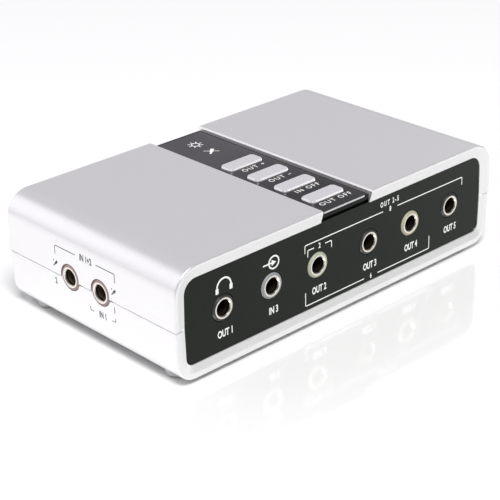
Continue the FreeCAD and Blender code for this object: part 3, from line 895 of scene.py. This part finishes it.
@dataclass
class Housing(SubAssembly):
    """Both painted shells with their feet and screws, and the print on the left side."""

    # Height above which the bottom shell's paint gets painted light, in the shaded parting groove.
    seam: float = 13.18
    text_height: float = 1.5
    figure_height: float = 1.45
    upper_line: float = 0.2
    lower_line: float = 0.18
    upper_bracket: Bracket = Bracket(left=-11.15, right=9.5, level=20.35, foot=18.3, gap=(-3.9, 3.25))
    lower_bracket: Bracket = Bracket(left=0.1, right=8.75, level=8.62, foot=9.55, gap=(1.35, 7.5))
    sign_level: float = 16.0
    sign_columns: Point = (-11.15, 9.05)
    figure_level: float = 11.45
    figure_columns: Point = (-11.7, 8.7)
    feeler_start: float = 10.0
    feeler_gap: float = 2.0
    microphone: Sign = (
        (0.55, (-0.12, -0.1), (0.62, 0.62)),
        (0.26, (-0.72, -0.72), (-0.1, -0.1)),
        (0.2, (-0.78, 0.42), (-0.58, 0.78)),
    )

    def build(self) -> None:
        """Dresses the nodes and prints the side."""
        self.dress(SILVER_PAINT, "top_cover")
        # The bottom shell's paint carries painted light above the seam height.
        self.dress(replace(SILVER_PAINT, name="seam_paint", seam=self.seam * MM), "bottom_shell")
        for end in ("front", "rear"):
            self.dress(FOOT_RUBBER, end + "_left_foot", end + "_right_foot")
        self.dress(SCREW_STEEL, "case_screws")
        self.upper_print()
        self.lower_print()

    def on_side(self, node: str, low: float, high: float) -> Matrix:
        """Finds the left face of a shell between two heights, by feeling for it from outside.

        Args:
            node: the shell.
            low: lower height in millimetres.
            high: upper height.

        Returns:
            The placing of a sheet whose X axis runs from the rear to the front.
        """
        shell = self.frame["nodes"][node]
        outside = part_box(node)[0].x - self.feeler_start * MM
        row = (self.feeler_gap - self.upper_bracket.left) * MM
        starts = [Vector((outside, row, z * MM)) for z in (low, high)]
        first, second = (shell.ray_cast(start, Vector((1, 0, 0)))[1] for start in starts)
        climb = second - first
        normal = Vector((-climb.z, 0, climb.x))
        at_zero = first - climb * (first.z / climb.z)
        return plane_at(Vector((at_zero.x, 0, 0)), Vector((0, -1, 0)), normal)

    def upper_print(self) -> None:
        """Prints the bracket over both jacks, its label and the microphone signs."""
        sheet = self.sheet("side_print_upper", DARK_INK)
        sheet.line = self.upper_line
        self.upper_bracket.draw(sheet, "IN 1+2", self.text_height)
        for x in self.sign_columns:
            sheet.sign(self.microphone, (x, self.sign_level))
        self.lay(sheet, self.on_side("top_cover", self.sign_level, self.upper_bracket.level))

    def lower_print(self) -> None:
        """Prints the figures beside the jacks and the small bracket under the front one."""
        sheet = self.sheet("side_print_lower", DARK_INK)
        sheet.line = self.lower_line
        self.lower_bracket.draw(sheet, "IN 1", self.text_height)
        for figure, x in zip(("2", "1"), self.figure_columns):
            sheet.text(figure, (x, self.figure_level), self.figure_height)
        self.lay(sheet, self.on_side("bottom_shell", self.lower_bracket.level, self.figure_level))


@dataclass
class EndPanels(SubAssembly):
    """Both polished panels and the print on the front one."""

    label_height: float = 1.6
    label_level: float = 8.1
    label_shift: float = 0.5
    phones_level: float = 18.95
    phones_radius: float = 1.95
    phones_band: float = 0.42
    phones_cup: Point = (0.85, 1.2)
    inward_level: float = 19.45
    inward_shift: float = 0.3
    inward_radius: float = 1.45
    inward_line: float = 0.38
    shaft_share: float = 0.9
    inward_reach: float = 3.2
    arrow: Point = (1.3, 1.44)
    group_height: float = 1.2
    group_space: float = 1.55
    group_place: Point = (15.1, 21.75)
    output_bracket: Bracket = Bracket(left=-12.05, right=40.6, level=20.0, foot=18.1, gap=(12.9, 17.8))
    pair_bracket: Bracket = Bracket(left=-11.2, right=-3.8, level=18.6, foot=17.0, gap=(-9.3, -5.8))
    lower_bracket: Bracket = Bracket(left=-11.97, right=29.2, level=5.3, foot=8.55, gap=(6.8, 11.35))

    def build(self) -> None:
        """Dresses the panels and prints the front."""
        self.dress(PANEL_BLACK, "front_panel", "rear_panel")
        sheet = self.sheet("front_print", WHITE_INK)
        self.labels(sheet)
        self.groups(sheet)
        self.phones_sign(sheet)
        self.inward_sign(sheet)
        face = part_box("front_panel")[0].y
        self.lay(sheet, plane_at(Vector((0, face, 0)), Vector((1, 0, 0)), Vector((0, -1, 0))))

    def column(self, jack: str) -> float:
        """Finds where a jack's print has its middle across the panel, in millimetres."""
        return self.middle(jack + "_ring")[0] + self.label_shift

    def labels(self, sheet: Sheet) -> None:
        """Prints a generic port name under each jack.

        Args:
            sheet: the sheet.
        """
        names = {
            "headphone": "OUT 1",
            "line_in": "IN 3",
            "front_out": "OUT 2",
            "surround_out": "OUT 3",
            "centre_bass_out": "OUT 4",
            "back_out": "OUT 5",
        }
        for jack, words in names.items():
            sheet.text(words, (self.column(jack), self.label_level), self.label_height)

    def groups(self, sheet: Sheet) -> None:
        """Prints the brackets that group the output jacks, each with its number of channels.

        Args:
            sheet: the sheet.
        """
        rows = {"8": self.output_bracket, "2": self.pair_bracket, "6": self.lower_bracket}
        for figure, bracket in rows.items():
            bracket.draw(sheet, figure, self.group_height)
        sheet.letter_space = self.group_space
        sheet.text("OUT 2-5", self.group_place, self.group_height)

    def phones_sign(self, sheet: Sheet) -> None:
        """Draws a pair of headphones over the first jack.

        Args:
            sheet: the sheet.
        """
        x = self.column("headphone")
        z = self.phones_level
        sheet.arc((x, z), self.phones_radius, 0, 180, self.phones_band)
        width, height = self.phones_cup
        for cup in (x - self.phones_radius, x + self.phones_radius):
            sheet.stroke((cup, z), (cup, z - height), width=width)

    def inward_sign(self, sheet: Sheet) -> None:
        """Draws a circle with an arrow going into it over the second jack.

        Args:
            sheet: the sheet.
        """
        x = self.column("line_in") + self.inward_shift
        z = self.inward_level
        length, width = self.arrow
        tail = x - length / 2
        sheet.arc((x, z), self.inward_radius, 0, 360, self.inward_line)
        sheet.stroke((x - self.inward_reach, z), (tail, z), width=self.inward_line * self.shaft_share)
        sheet.plate((tail, z - width / 2), (tail + length, z), (tail, z + width / 2))


@dataclass
class KeyStrip(SubAssembly):
    """Bezel, printed strip, keys, switches and lamps."""

    label_x: float = 0.95
    label_drop: float = 1.4
    label_height: float = 1.45
    label_squeeze: float = 0.92
    label_weight: float = 0.0
    label_space: float = 1.3
    key_flange: float = 0.8
    edge_depth: float = 0.03
    sun_radius: float = 0.95
    sun_line: float = 0.28
    ray_count: int = 8
    ray_radius: float = 1.55
    ray_bar: Point = (0.7, 0.26)
    struck_microphone: Sign = (
        (0.95, (-0.35, -0.3), (1.05, 0.9)),
        (0.55, (-1.35, -1.15), (-0.3, -0.25)),
        (0.2, (-1.4, 1.3), (-0.25, 0.24)),
        (0.2, (0.5, -0.46), (1.4, -1.3)),
    )

    def build(self) -> None:
        """Dresses the strip's nodes and prints the strip."""
        keys = ("mute", "mic_mute", "volume_down", "volume_up")
        self.dress(BEZEL_BLACK, "button_bezel")
        low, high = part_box("control_overlay")
        # The overlay's finish is centred just behind its front edge, where its painted highlight begins.
        edge = (0.0, low.y + self.edge_depth * MM, 0.0)
        self.dress(replace(OVERLAY_GREY, centre=edge), "control_overlay")
        finishes = {"_button": KEY_PAINT, "_switch": OPTICAL_BLACK, "_plunger": PLUNGER_BLACK}
        for end, finish in finishes.items():
            self.dress(finish, *[key + end for key in keys])
        self.dress(CLEAR_PLASTIC, "power_light_guide", "microphone_light_guide")
        self.dress(LED_WHITE, "power_led", "microphone_led")
        sheet = self.sheet("strip_print", WHITE_INK)
        self.lamp_signs(sheet)
        self.key_labels(sheet)
        self.lay(sheet, plane_at(Vector((0, 0, high.z)), Vector((1, 0, 0)), Vector((0, 0, 1))))

    def lamp_signs(self, sheet: Sheet) -> None:
        """Draws a sun and a struck-out microphone over the two light guides.

        Args:
            sheet: the sheet.
        """
        sun = self.middle("power_light_guide")[:2]
        sheet.arc(sun, self.sun_radius, 0, 360, self.sun_line)
        sheet.rays(sun, self.ray_count, self.ray_radius, self.ray_bar)
        sheet.sign(self.struck_microphone, self.middle("microphone_light_guide")[:2])

    def key_labels(self, sheet: Sheet) -> None:
        """Prints generic signs in front of the keys: output up and down, input off and output off.

        Args:
            sheet: the sheet.
        """
        signs = {"volume_up": "OUT +", "volume_down": "OUT \u2013", "mic_mute": "IN OFF", "mute": "OUT OFF"}
        sheet.letter_squeeze = self.label_squeeze
        sheet.letter_weight = self.label_weight
        sheet.letter_space = self.label_space
        for key, words in signs.items():
            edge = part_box(key + "_button")[0].y / MM + self.key_flange
            sheet.text(words, (self.label_x, edge - self.label_drop), self.label_height)


class CollarColour(Enum):
    """Colours that tell the jacks apart."""

    BLACK = (0.016, 0.016, 0.016)
    GREY = (0.24, 0.255, 0.265)
    LIME = (0.36, 0.38, 0.275)
    OLIVE = (0.38, 0.35, 0.245)
    PINK = (0.28, 0.20, 0.185)


FRONT_JACKS = {
    "headphone": CollarColour.BLACK,
    "line_in": CollarColour.GREY,
    "front_out": CollarColour.LIME,
    "surround_out": CollarColour.BLACK,
    "centre_bass_out": CollarColour.OLIVE,
    "back_out": CollarColour.BLACK,
}
SIDE_JACKS = {"mic_left": CollarColour.PINK, "mic_right": CollarColour.PINK}


@dataclass
class JackBank(SubAssembly):
    """Six jacks in the front and two in the left side, each a collar and a turned ring."""

    facing_front: Place = (math.pi / 2, 0.0, 0.0)
    facing_left: Place = (0.0, math.pi / 2, 0.0)
    # Painted shade inside the side jacks' holes, lighter than in the front ones.
    side_hole_shade: Colour = (0.075, 0.056, 0.040)

    def build(self) -> None:
        """Dresses the jacks."""
        for jack, colour in FRONT_JACKS.items():
            self.jack(jack, colour, self.facing_front, JACK_PLASTIC.hole_shade)
        for jack, colour in SIDE_JACKS.items():
            self.jack(jack, colour, self.facing_left, self.side_hole_shade)
        self.dress(CONTACT_BRASS, "jack_contacts")

    def jack(self, jack: str, colour: CollarColour, turn: Place, hole_shade: Colour) -> None:
        """Dresses one jack in finishes that are centred on its axis.

        Args:
            jack: name of the jack.
            colour: colour of its collar.
            turn: turn that lays the finishes' Z axis along the jack's.
            hole_shade: colour inside its hole.
        """
        low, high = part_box(jack + "_ring")
        axis = {"centre": tuple((low + high) / 2), "turn": turn}
        collar = {"name": "jack_plastic_" + jack, "colour": colour.value, "hole_shade": hole_shade}
        self.dress(replace(JACK_PLASTIC, **collar, **axis), jack + "_jack")
        self.dress(replace(RING_METAL, name="ring_metal_" + jack, **axis), jack + "_ring")


@dataclass
class RearSockets(SubAssembly):
    """Data socket and two optical sockets."""

    def build(self) -> None:
        """Dresses the sockets."""
        self.dress(SOCKET_STEEL, "usb_shield")
        self.dress(SOCKET_WHITE, "usb_insert")
        self.dress(CONTACT_BRASS, "usb_contacts")
        for socket in ("optical_out", "optical_in"):
            self.dress(OPTICAL_BLACK, socket + "_socket")
            self.dress(CLEAR_PLASTIC, socket + "_lens")


@dataclass
class BoardAssembly(SubAssembly):
    """Circuit board and what is soldered to it."""

    def build(self) -> None:
        """Dresses the board."""
        self.dress(BOARD_GREEN, "circuit_board")
        self.dress(CHIP_BLACK, "audio_chip", "voltage_regulator")
        self.dress(CAN_METAL, "crystal", "coupling_capacitors")


@dataclass(frozen=True)
class Softbox:
    """One large soft light."""

    name: str
    place: Place
    width: float
    height: float
    power: float
    aim: Place = (0.0, 0.0, 0.0)
    colour: Colour = (1.0, 1.0, 1.0)

    def build(self) -> None:
        """Hangs the light."""
        light = bpy.data.lights.new(self.name, "AREA")
        light.color = self.colour
        light.shape = "RECTANGLE"
        light.size = self.width
        light.size_y = self.height
        light.energy = self.power
        lamp = stand(self.name, light)
        lamp.location = self.place
        direction = Vector(self.aim) - Vector(self.place)
        lamp.rotation_euler = direction.to_track_quat("-Z", "Y").to_euler()
        LOG.info("hung %s", self.name)


@dataclass
class Studio:
    """Pale floor, plain surroundings, soft lights and the camera."""

    palette: Palette
    floor_size: float = 6.0
    floor_drop: float = 0.02 * MM
    sky: Colour = (0.985, 0.985, 0.975)
    sky_strength: float = 0.32
    azimuth: float = -42.72
    elevation: float = 25.58
    roll: float = -1.44
    distance: float = 360.0 * MM
    target: Place = (-1.3 * MM, 1.2 * MM, 5.68 * MM)
    lens: float = 109.7
    sensor: float = 36.0
    nearest: float = 10.0 * MM
    lights: tuple[Softbox, ...] = (
        Softbox("main_softbox", place=(-0.85, -1.25, 2.70), width=1.2, height=1.2, power=105.5),
        Softbox(
            "rear_softbox", place=(0.25, 1.70, 1.10), width=4.6, height=2.0, power=6.6,
            colour=(0.92, 0.86, 1.0),
        ),
        Softbox(
            "left_softbox", place=(-0.68, 0.73, 0.45), aim=(0.0, 0.0, 0.01), width=1.2, height=0.9,
            power=2.4, colour=(0.98, 0.95, 1.0),
        ),
        Softbox(
            "front_softbox", place=(0.65, -0.78, 0.26), aim=(0.0, 0.0, 0.01), width=1.0, height=0.22,
            power=0.9,
        ),
        Softbox(
            "right_softbox", place=(1.62, 0.50, 0.65), aim=(0.0, 0.0, 0.02), width=1.0, height=0.9,
            power=0.9,
        ),
    )

    def build(self) -> None:
        """Sets up the whole studio."""
        self.floor()
        self.surroundings()
        for light in self.lights:
            light.build()
        self.camera()
        bpy.context.scene.view_settings.view_transform = "Standard"

    def floor(self) -> None:
        """Lays the pale floor."""
        half = self.floor_size / 2
        mesh = bpy.data.meshes.new("floor")
        square = [(-half, -half), (half, -half), (half, half), (-half, half)]
        mesh.from_pydata([(x, y, -self.floor_drop) for x, y in square], [], [(0, 1, 2, 3)])
        mesh.materials.append(self.palette.of(STUDIO_FLOOR))
        floor = stand("studio_floor", mesh)

    def surroundings(self) -> None:
        """Fills the room with even pale light."""
        world = bpy.data.worlds.new("studio_room")
        world.use_nodes = True
        background = world.node_tree.nodes["Background"]
        background.inputs["Color"].default_value = (*self.sky, 1.0)
        background.inputs["Strength"].default_value = self.sky_strength
        bpy.context.scene.world = world

    def camera(self) -> None:
        """Stands the camera at the photograph's angle."""
        a = math.radians(self.azimuth)
        e = math.radians(self.elevation)
        roll = math.radians(self.roll)
        back = Vector((math.sin(a) * math.cos(e), -math.cos(a) * math.cos(e), math.sin(e)))
        level = Vector((math.cos(a), math.sin(a), 0.0))
        upward = back.cross(level)
        right = level * math.cos(roll) + upward * math.sin(roll)
        up = back.cross(right)
        lens = bpy.data.cameras.new("camera")
        lens.lens = self.lens
        lens.sensor_width = self.sensor
        lens.clip_start = self.nearest
        camera = stand("camera", lens)
        turned = Matrix((right, up, back)).transposed().to_4x4()
        camera.matrix_world = Matrix.Translation(Vector(self.target) + back * self.distance) @ turned
        bpy.context.scene.camera = camera


def main() -> None:
    """Builds the studio and every sub-assembly."""
    logging.basicConfig(level=logging.INFO, format="%(name)s: %(message)s")
    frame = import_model()
    palette = Palette()
    press = Press()
    for assembly in (Housing, EndPanels, KeyStrip, JackBank, RearSockets, BoardAssembly):
        assembly(frame, palette, press).build()
    Studio(palette).build()


if __name__ == "__main__":
    main()
